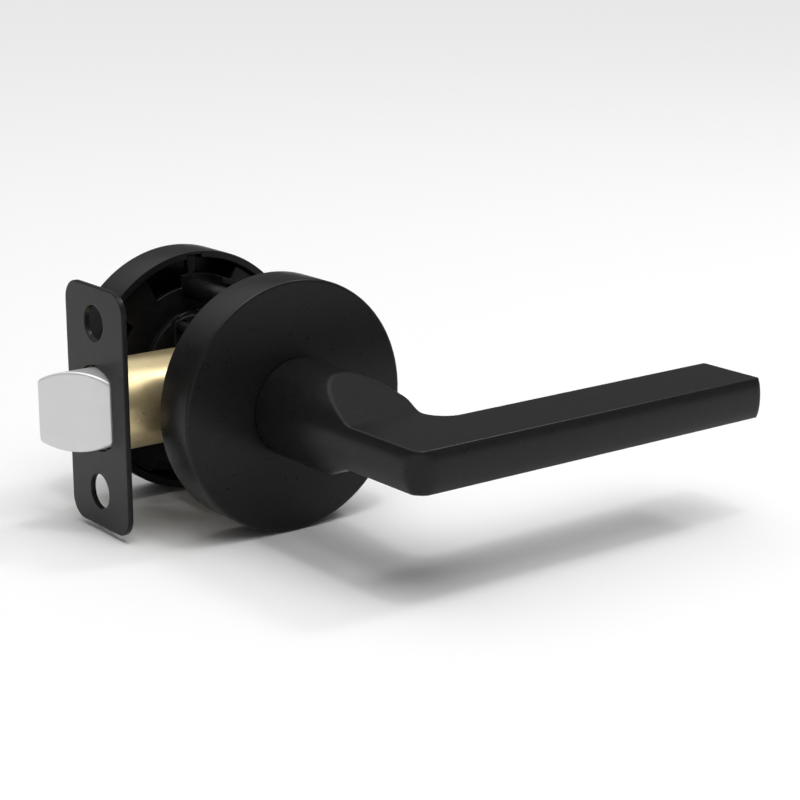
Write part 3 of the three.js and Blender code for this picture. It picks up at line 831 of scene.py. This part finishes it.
def make_lever():
    front = -span("lever", Y)[0]
    tip = span("lever", X)[1]
    start = -span("front_rose", Y)[0] + GAP
    plan = lever_plan(start, front, tip)
    side = lever_side(start, front)

    def field(x, y, z):
        depth = -y
        across = outline_distance(plan, x, depth)
        along = outline_distance(side, depth, z)
        shank = np.sqrt(x * x + z * z) - SHANK_RADIUS
        bar = np.maximum(-x, FLAT_START - depth)
        body = rounded_common(across, along, EDGE_ROUND)
        body = rounded_common(body, np.minimum(shank, bar), NECK_ROUND)
        return rounded_common(body, start - depth, BASE_ROUND)

    xs = grid_line([(-14.2, 18, 0.45), (18, 92, 2.2), (92, tip + 1.2, 0.45)])
    depths = [(start - 1.1, start + 1, 0.3), (start + 1, 45, 1.4), (45, 72, 0.5), (72, front + 1.1, 0.4)]
    ys = -grid_line(depths)[::-1]
    half = grid_line([(0, 4, 0.8), (4, 14.2, 0.45)])
    zs = np.concatenate([-half[:0:-1], half])
    lever = field_solid("lever_piece", field, xs, ys, zs)
    combine(lever, make_journal(start + 2, -span("lever", Y)[1]), "UNION", 50)
    cut_socket(lever, -SOCKET_DEPTH, 0, 50)
    outline = circle(0, -SCREW_DEPTH, SCREW_HOLE, 32)
    cut(lever, outline, -SHANK_RADIUS - 1, 0, place_along_z, 50)
    attach(lever, "lever", "lever_set", "satin_black")


# ---- latch, seen from the door's edge

FACEPLATE_CORNER = 5.5
FACEPLATE_HOLE = 4.6
FACEPLATE_HOLE_OFFSET = 22.2
OPENING_RADIUS = 11.1
OPENING_FLAT = 7.6
TUBE_WALL = 0.8
BOLT_FLAT = 7.2
BEVEL_ROOT = -41.4
BOLT_NOSE = 0.8
BOLT_ROUND = 0.6
BOLT_GRID = 0.22
TAIL_WEB = 1.5
TAIL_INNER = 7.5
ARM_SLOT_FRONT = -24.5
ARM_SLOT_HALF = 2.9
SLIDE_HALF = 6.8
SLIDE_EAR = 1.4
HUB_CORE = 7.0
HUB_CORE_HALF = 4.9
HUB_ARM_REACH = 15.0
HUB_ARM_TIP = 2.6
HUB_ARM_LEAN = 25
HUB_ARM_NECK = 1.5
HUB_ARM_HALF = 2.5
CHEEK_BORE = 8.9
CHEEK_CORNER = 4.0
RIVET_HOLE = 1.8
RIVET_RADIUS = 1.5
RIVET_HEAD = 0.8
SEAT_HOLE = 2.5
LATCH_WIRE = 0.5
LATCH_TURNS = 8
LATCH_TURN_STEPS = 28
LATCH_CLOSING = 0.035  # how much of its length the spring shifts to close the first and last turn


def flattened_circle(radius, flat, count=24):
    """A circle with two flats at plus and minus flat along its first axis."""
    angle = math.degrees(math.acos(flat / radius))
    ends = ((angle, 180 - angle), (180 + angle, 360 - angle))
    return [point for start, end in ends for point in arc(0, 0, radius, start, end, count)]


def make_faceplate():
    (y0, y1), (z0, z1) = span("faceplate", Y), span("faceplate", Z)
    outer, inner = span("faceplate", X)
    outline = rounded(rectangle(y0, y1, z0, z1), FACEPLATE_CORNER, 12)
    opening = flattened_circle(OPENING_RADIUS, OPENING_FLAT)
    holes = [circle(0, side * FACEPLATE_HOLE_OFFSET, FACEPLATE_HOLE, 64) for side in (1, -1)]
    piece = slab("faceplate_piece", [outline, opening, *holes], outer, inner, place_along_x, 0.3, 4)
    attach(piece, "faceplate", "door_set", "satin_black")


def make_tube():
    front, rear = span("latch_tube", X)
    radius = span("latch_tube", Z)[1]
    inner = radius - TUBE_WALL
    profile = rounded([(radius, front), (radius, rear), (inner, rear), (inner, front)], 0.25, 4)
    piece = turned("latch_tube_piece", profile, 160, lambda a, b, height: (height, a, b))
    attach(piece, "latch_tube", "door_set", "brass")


def make_bolt():
    tip, rear = span("latch_bolt", X)
    radius = span("latch_bolt", Z)[1]
    plan = [(rear, -BOLT_FLAT), (rear, BOLT_FLAT), (tip, BOLT_FLAT), (tip, BOLT_FLAT - BOLT_NOSE)]
    plan.append((BEVEL_ROOT, -BOLT_FLAT))
    plan = rounded(plan, [0.3, 0.3, 0.3, 0.3, 0.5], 4)

    def field(x, y, z):
        across = outline_distance(plan, x, y)
        round_body = np.sqrt(y * y + z * z) - radius
        return rounded_common(across, round_body, BOLT_ROUND)

    reaches = ((tip, rear), (-BOLT_FLAT, BOLT_FLAT), (-radius, radius))
    xs, ys, zs = (grid_line([(low - 0.6, high + 0.6, BOLT_GRID)]) for low, high in reaches)
    piece = field_solid("latch_bolt_piece", field, xs, ys, zs)
    attach(piece, "latch_bolt", "bolt", "polished_nickel")


def make_bolt_tail():
    """Clevis behind the bolt. Its upper leg is slotted for the hub's arm and turns up into a lug."""
    front, rear = span("bolt_tail", X)
    width = span("bolt_tail", Y)[1]
    low, top = span("bolt_tail", Z)
    lug_front = span("retractor_slide", X)[1] + GAP
    web = front + TAIL_WEB
    outline = [(front, low), (rear, low), (rear, -TAIL_INNER), (web, -TAIL_INNER), (web, TAIL_INNER)]
    outline += [(rear, TAIL_INNER), (rear, top), (lug_front, top), (lug_front, -low), (front, -low)]
    corners = [0.9, 0.3, 0.3, 0.5, 0.5, 0.5, 0.6, 0.3, 0.3, 0.9]
    piece = slab("bolt_tail_piece", [rounded(outline, corners, 4)], -width, width, edge=0.2)
    slot = rectangle(ARM_SLOT_FRONT, lug_front, -ARM_SLOT_HALF, ARM_SLOT_HALF)
    cut(piece, rounded(slot, [1.2, 0, 0, 1.2], 5), TAIL_INNER - 1, -low + 1, place_along_z)
    attach(piece, "bolt_tail", "bolt", "zinc_plate")


def make_retractor_slide():
    """Cross bar with a guide ear at each end. The hub's arm pushes its front face."""
    (front, rear), (bottom, top) = span("retractor_slide", X), span("retractor_slide", Z)
    ear = span("retractor_slide", Y)[1]
    middle = (bottom + top) / 2
    low, high = middle - SLIDE_EAR, middle + SLIDE_EAR
    right = [(SLIDE_HALF, bottom), (SLIDE_HALF, low), (ear, low)]
    right += [(ear, high), (SLIDE_HALF, high), (SLIDE_HALF, top)]
    left = [(-y, z) for y, z in reversed(right)]
    outline = rounded(left[3:] + right + left[:3], 0.4, 3)
    piece = slab("retractor_slide_piece", [outline], front, rear, place_along_x, 0.2)
    attach(piece, "retractor_slide", "retractor", "zinc_plate")


def make_latch_hub():
    """Round hub on the spindle, with the arm that pushes the retractor slide."""
    half = span("latch_hub", Y)[1]
    radius = -span("latch_hub", Z)[0]
    profile = [(0, -half), (radius, -half), (radius, -HUB_CORE_HALF), (HUB_CORE, -HUB_CORE_HALF)]
    profile += [(size, -height) for size, height in reversed(profile)]
    corners = [0, 0.5, 0.2, 0.2, 0.2, 0.2, 0.5, 0]
    piece = turned("latch_hub_piece", rounded(profile, corners, 3), 96)
    lean = math.radians(HUB_ARM_LEAN)
    tip = (-HUB_ARM_REACH * math.sin(lean), HUB_ARM_REACH * math.cos(lean))
    side = (HUB_ARM_NECK * math.cos(lean), HUB_ARM_NECK * math.sin(lean))
    turn = math.degrees(lean)
    outline = [(-side[0], -side[1]), side]
    outline += arc(*tip, HUB_ARM_TIP, turn - 35, turn + 215, 20)
    arm = slab("arm", [outline], -HUB_ARM_HALF, HUB_ARM_HALF, edge=0.25)
    combine(piece, arm, "UNION")
    cut_socket(piece, -half - 1, half + 1)
    attach(piece, "latch_hub", "lever_set", "zinc_plate")


def make_latch_case():
    """Two side plates with the slide's guide slots, held together by three rivets."""
    front, rear = span("front_case_cheek", X)
    height = span("front_case_cheek", Z)[1]
    outer, inner = span("front_case_cheek", Y)
    slide_front, slide_rear = span("retractor_slide", X)
    bottom, top = span("retractor_slide", Z)
    middle = (bottom + top) / 2
    throw = frame["joints"][-1]["range_m"][1] / MM
    slot_half = SLIDE_EAR + GAP
    slot = rectangle(slide_front - 0.8, slide_rear + throw + 1, middle - slot_half, middle + slot_half)
    holes = [circle(0, 0, CHEEK_BORE, 96), rounded(slot, 0.6, 4)]
    rivets = {}
    for node in ("upper_case_rivet", "lower_case_rivet", "rear_case_rivet"):
        x, head_radius = centre_and_half(node, X)
        z = centre_and_half(node, Z)[0]
        rivets[node] = (x, z, head_radius)
        holes.append(circle(x, z, RIVET_HOLE, 24))
    outline = rounded(rectangle(front, rear, -height, height), CHEEK_CORNER, 10)
    cheek = slab("front_case_cheek_piece", [outline, *holes], outer, inner, edge=0.2)
    attach_pair(cheek, "case_cheek", "door_set", "black_steel")
    for node, (x, z, head_radius) in rivets.items():
        reach = span(node, Y)[1]
        head = reach - RIVET_HEAD
        profile = [(0, -reach), (head_radius, -reach), (head_radius, -head), (RIVET_RADIUS, -head)]
        profile += [(size, -height) for size, height in reversed(profile)]
        profile = rounded(profile, [0, 0.6, 0.1, 0.1, 0.1, 0.1, 0.6, 0], 4)
        piece = turned(node + "_piece", profile, 48, upright(x, z))
        attach(piece, node, "door_set", "black_steel")


def make_spring_seat():
    (front, rear), (y0, y1), (z0, z1) = (span("spring_seat", axis) for axis in (X, Y, Z))
    outlines = [rounded(rectangle(y0, y1, z0, z1), 0.8, 4), circle(0, 0, SEAT_HOLE, 32)]
    piece = slab("spring_seat_piece", outlines, front, rear, place_along_x, 0.15)
    attach(piece, "spring_seat", "door_set", "zinc_plate")


def make_latch_spring():
    """Compression spring with closed ends, in two halves that the bolt and the slide each press; both halves stay
    where they are made.
    """
    front, rear = span("latch_spring", X)
    outer = span("latch_spring", Z)[1]
    mean = outer - LATCH_WIRE
    start, end = front + LATCH_WIRE, rear - LATCH_WIRE
    count = LATCH_TURNS * LATCH_TURN_STEPS
    path = []
    for i in range(count + 1):
        turn = LATCH_TURNS * i / count
        closed = min(turn, LATCH_TURNS - turn, 1.0)
        pitch_share = turn / LATCH_TURNS
        pitch_share += LATCH_CLOSING * math.sin(math.pi * closed) * (1 if turn < 1 else 0)
        pitch_share -= LATCH_CLOSING * math.sin(math.pi * closed) * (1 if turn > LATCH_TURNS - 1 else 0)
        angle = TWO_PI * turn
        along = start + (end - start) * np.clip(pitch_share, 0, 1)
        path.append((along, mean * math.cos(angle), mean * math.sin(angle)))
    half = count // 2
    middle = (front + rear) / 2
    halves = (
        ("front_half", path[: half + 1], "retractor", "bolt", middle, front),
        ("rear_half", path[half:], "door_set", "retractor", rear, middle),
    )
    for name, points, still, moving, held, pushed in halves:
        piece = wire("latch_spring_" + name, points, LATCH_WIRE)
        piece.data.materials.append(materials["spring_steel"])
        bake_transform(piece)
        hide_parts("latch_spring")


# ---- inside the roses

PLATE_RADIUS = 26.6
PLATE_LOBE = 30.5
PLATE_RECESS = 23.2
PLATE_BORE = 12.3
TAB_HALF = 1.2
SCREW_CLEARANCE = 2.1
BUSHING_BORE = 10.0
BUSHING_RADIUS = 12.0
FLANGE_THICKNESS = 1.5
GUARD_WALL = 1.5
GUARD_HALF_ANGLE = 76
DRIVE_HUB = 12.8
DRIVE_LOBE_ANGLE = 135
DRIVE_HALF_LOBE = 22
RING_INNER = 9.1
RING_HALF_MOUTH = 20
RETURN_WIRE = 0.7
RETURN_RADIUS = 16.6
RETURN_TURNS = 1.6
RETURN_START = 60
RETURN_STEPS = 96
POST_BLIND = 12.0
POST_BORE = 1.9
SCREW_RADIUS = 1.6
CROSS_HALF = 0.45
CROSS_REACH = 2.2
CROSS_DEPTH = 1.1
HEAD_DOME = 1.3
HEXAGON_RADIUS = 1.4
HEXAGON_DEPTH = 2.4


def make_mounting_plates():
    """Pressed plate with four lobes that hold the rose and a locating tab at the top."""
    outer, inner = span("front_mounting_plate", Y)
    reach = span("front_mounting_plate", Z)[1]
    tab = math.degrees(math.asin(TAB_HALF / reach))
    steps = [(38, PLATE_RADIUS), (62, PLATE_LOBE), (90 - tab, PLATE_RADIUS), (90 + tab, reach)]
    steps += [(97, PLATE_RADIUS), (118, PLATE_RECESS), (142, PLATE_LOBE), (218, PLATE_RECESS)]
    steps += [(242, PLATE_LOBE), (298, PLATE_RADIUS), (320, PLATE_LOBE)]
    outline = rounded(stepped_disc(-40, steps), 0.4, 3)
    post = centre_and_half("upper_threaded_post", Z)[0]
    holes = [circle(0, 0, PLATE_BORE, 96)]
    holes += [circle(0, side * post, SCREW_CLEARANCE, 32) for side in (1, -1)]
    plate = slab("front_mounting_plate_piece", [outline, *holes], outer, inner, edge=0.25)
    attach_pair(plate, "mounting_plate", "door_set", "black_steel")


def make_bushings():
    outer, inner = span("front_bushing", Y)
    flange = span("front_bushing", X)[1]
    seat = span("front_mounting_plate", Y)[0] - GAP
    rim = seat - FLANGE_THICKNESS
    profile = [(BUSHING_BORE, outer), (BUSHING_RADIUS, outer), (BUSHING_RADIUS, rim), (flange, rim)]
    profile += [(flange, seat), (BUSHING_RADIUS, seat), (BUSHING_RADIUS, inner), (BUSHING_BORE, inner)]
    piece = turned("front_bushing_piece", rounded(profile, 0.25, 3), 96)
    attach_pair(piece, "bushing", "door_set", "nylon")


def make_spring_guards():
    outer, inner = span("front_spring_guard", Y)
    radius = span("front_spring_guard", X)[1]
    wall = ring_sector(radius - GUARD_WALL, radius, -GUARD_HALF_ANGLE, GUARD_HALF_ANGLE, 60)
    piece = slab("front_spring_guard_piece", [wall], outer, inner, edge=0.25)
    attach_pair(piece, "spring_guard", "door_set", "black_steel")


def make_drive_plates():
    """Turns with the lever on two flats. Its lobes push the return spring's inner leg."""
    outer, inner = span("front_drive_plate", Y)
    lobe = max(math.hypot(*c) for c in plan_corners("front_drive_plate"))
    half = DRIVE_HALF_LOBE
    steps = []
    for middle in (DRIVE_LOBE_ANGLE, DRIVE_LOBE_ANGLE + 180):
        steps += [(middle + half, lobe), (middle + 180 - half, DRIVE_HUB)]
    bore = flattened_circle(JOURNAL_RADIUS + GAP, JOURNAL_FLAT + GAP)
    outlines = [rounded(stepped_disc(DRIVE_LOBE_ANGLE - half, steps), 0.5, 3), bore]
    piece = slab("front_drive_plate_piece", outlines, outer, inner, edge=0.25)
    attach_pair(piece, "drive_plate", "lever_set", "black_steel")


def plan_corners(node):
    """Every vertex of a CAD node as (x, z), in millimetres."""
    return [(v.co.x / MM, v.co.z / MM) for v in frame["nodes"][node].data.vertices]


def make_snap_rings():
    """Open ring in the journal's groove."""
    outer, inner = span("front_snap_ring", Y)
    radius = span("front_snap_ring", X)[1]
    wall = ring_sector(RING_INNER, radius, -90 + RING_HALF_MOUTH, 270 - RING_HALF_MOUTH, 72)
    piece = slab("front_snap_ring_piece", [wall], outer, inner, edge=0.12)
    attach_pair(piece, "snap_ring", "lever_set", "black_steel")


def make_return_springs():
    """Torsion spring round the journal: its outer leg rests on the plate, its inner leg on the lobe."""
    outer, inner = span("front_return_spring", Y)
    start, end = -inner - RETURN_WIRE, -outer - RETURN_WIRE
    first = math.radians(RETURN_START)
    last = first + RETURN_TURNS * TWO_PI
    path = [(RETURN_RADIUS - 3.2, first - 0.1, start), (RETURN_RADIUS - 1.6, first - 0.06, start)]
    for i in range(RETURN_STEPS + 1):
        share = i / RETURN_STEPS
        path.append((RETURN_RADIUS, first + share * RETURN_TURNS * TWO_PI, start + share * (end - start)))
    path += [(RETURN_RADIUS + 2.4, last + 0.1, end), (RETURN_RADIUS + 5.4, last + 0.13, end)]
    points = [(size * math.cos(angle), -depth, size * math.sin(angle)) for size, angle, depth in path]
    front = wire("front_return_spring_piece", points, RETURN_WIRE)
    rear = mirrored(front, "rear_return_spring_piece")
    for piece, side in ((front, FRONT), (rear, REAR)):
        node = piece.name.replace("_piece", "")
        piece.data.materials.append(materials["black_steel"])
        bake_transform(piece)
        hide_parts(node)


# ---- bolts and screws


def make_posts():
    for place in ("upper", "lower"):
        node = place + "_threaded_post"
        front, rear = span(node, Y)
        centre, radius = centre_and_half(node, Z)
        profile = [(0, POST_BLIND), (POST_BORE, POST_BLIND), (POST_BORE, front)]
        profile += [(radius, front), (radius, rear), (0, rear)]
        profile = rounded(profile, [0, 0, 0.3, 0.35, 0.35, 0], 3)
        piece = turned(node + "_piece", profile, 64, upright(0, centre))
        attach(piece, node, "door_set", "black_steel")


def make_screws():
    """Through bolts with domed cross-recess heads and cut threads."""
    for place in ("upper", "lower"):
        node = place + "_mounting_screw"
        outer, tip = span(node, Y)
        centre, radius = centre_and_half(node, Z)
        seat = span("front_mounting_plate", Y)[0] - GAP
        corners = [(0, outer), (radius, outer), (radius, seat), (0, seat)]
        profile = rounded(corners, [0, HEAD_DOME, 0.2, 0], 8)
        piece = turned(node + "_piece", profile, 64, upright(0, centre))
        for half_x, half_z in ((CROSS_HALF, CROSS_REACH), (CROSS_REACH, CROSS_HALF)):
            outline = rectangle(-half_x, half_x, centre - half_z, centre + half_z)
            cut(piece, outline, outer - 1, outer + CROSS_DEPTH)
        stem = thread("stem", SCREW_RADIUS, 0.28, 0.8, seat - 0.5, tip, 0, centre)
        combine(piece, stem, "UNION", 50)
        attach(piece, node, "door_set", "zinc_plate")


def make_set_screw():
    """Headless screw under the shank, with a hexagon socket."""
    bottom, top = span("set_screw", Z)
    radius = centre_and_half("set_screw", X)[1]
    middle = centre_and_half("set_screw", Y)[0]
    stem = thread("set_screw_piece", radius, 0.25, 0.7, bottom, top, 0, 0)
    for vertex in stem.data.vertices:
        x, y, z = vertex.co
        vertex.co = (x, z + middle * MM, y)
    tidy(stem, 50)
    hexagon = circle(0, middle, HEXAGON_RADIUS, 6)
    cut(stem, hexagon, bottom - 1, bottom + HEXAGON_DEPTH, place_along_z, 50)
    attach(stem, "set_screw", "lever_set", "black_steel")


def make_spindle():
    """Square bar with broken corners."""
    half = span("spindle", X)[1]
    front, rear = span("spindle", Y)
    outline = rounded(rectangle(-half, half, -half, half), 0.6, 4)
    attach(slab("spindle_piece", [outline], front, rear, edge=0.5), "spindle", "lever_set", "zinc_plate")


# ---- floor, light

FLOOR_SIZE = 8.0
FLOOR_CENTRE = (0.5, 1.0)
FLOOR_DROP = 0.0003  # how far the floor lies below the part
FLOOR_COLOUR = (0.90, 0.90, 0.90, 1)
SKY_FRONT, SKY_BACK, SKY_TURN = 1.0, 0.8, 0.4  # strengths, and where along Y one becomes the other
SKY_HORIZON, SKY_ZENITH, SKY_RISE = 0.18, 0.75, 0.5  # strengths, and how high the rise begins
KEYS = (((0.0, -0.31, 0.951), 2.9), ((0.0, 0.57, 0.822), 0.8))  # direction and strength
KEY_EDGE = 0.82  # cosine of the angle at which a key patch starts
LIGHT_AIM = Vector((0.03, 0.0, 0.0))
LIGHTS = (  # name, place, size and power
    ("overhead", (0.0, -0.28, 0.9), 0.1, 0.9),
    ("right_softbox", (0.65, -0.2, 0.85), 0.2, 1.8),
)


def make_floor(height):
    mesh = bpy.data.meshes.new("floor")
    work = bmesh.new()
    bmesh.ops.create_grid(work, x_segments=1, y_segments=1, size=FLOOR_SIZE / 2)
    work.to_mesh(mesh)
    work.free()
    floor = linked("floor", mesh)
    floor.location = (*FLOOR_CENTRE, height)
    material, tree, shader = new_material("floor")
    shader.inputs["Base Color"].default_value = FLOOR_COLOUR
    shader.inputs["Roughness"].default_value = 0.6
    shader.inputs["Specular IOR Level"].default_value = 0.2
    mesh.materials.append(material)


def area_light(name, place, size, power):
    data = bpy.data.lights.new(name, "AREA")
    data.shape = "DISK"
    data.size = size
    data.energy = power
    light = linked(name, data)
    light.location = place
    aim(light, LIGHT_AIM - Vector(place))


def make_light():
    """A pale sky, brighter overhead and in front, with bright patches, and two small lamps."""
    world = bpy.data.worlds.new("studio")
    world.use_nodes = True
    tree = world.node_tree
    background = tree.nodes["Background"]
    place = tree.nodes.new("ShaderNodeTexCoord")
    split = tree.nodes.new("ShaderNodeSeparateXYZ")
    tree.links.new(place.outputs["Generated"], split.inputs[0])
    behind = ranged(tree, split.outputs["Y"], SKY_FRONT, SKY_BACK, -SKY_TURN, SKY_TURN)
    above = ranged(tree, split.outputs["Z"], SKY_HORIZON, SKY_ZENITH, SKY_RISE, 1.0)
    total = arithmetic(tree, "MULTIPLY", behind, above)
    for direction, strength in KEYS:
        toward = tree.nodes.new("ShaderNodeVectorMath")
        toward.operation = "DOT_PRODUCT"
        toward.inputs[1].default_value = direction
        tree.links.new(place.outputs["Generated"], toward.inputs[0])
        patch = ranged(tree, toward.outputs["Value"], 0, strength, KEY_EDGE, 1.0)
        total = arithmetic(tree, "ADD", total, patch)
    tree.links.new(total, background.inputs["Strength"])
    background.inputs["Color"].default_value = (1, 1, 1, 1)
    bpy.context.scene.world = world
    for light in LIGHTS:
        area_light(*light)


# ---- the scene

make_camera()
bpy.context.scene.view_settings.view_transform = "Standard"
make_roses()
make_lever()
make_rear_cap()
make_faceplate()
make_tube()
make_bolt()
make_bolt_tail()
make_retractor_slide()
make_latch_hub()
make_latch_case()
make_spring_seat()
make_latch_spring()
make_mounting_plates()
make_bushings()
make_spring_guards()
make_drive_plates()
make_snap_rings()
make_return_springs()
make_posts()
make_screws()
make_set_screw()
make_spindle()
slots = {entry["node"]: entry["material_slot"] for entry in frame["record"]["subparts"]}
for node, thing in frame["nodes"].items():
    thing.data.materials.clear()
    thing.data.materials.append(materials[slots[node]])
make_floor(cad_low.z - FLOOR_DROP)
make_light()
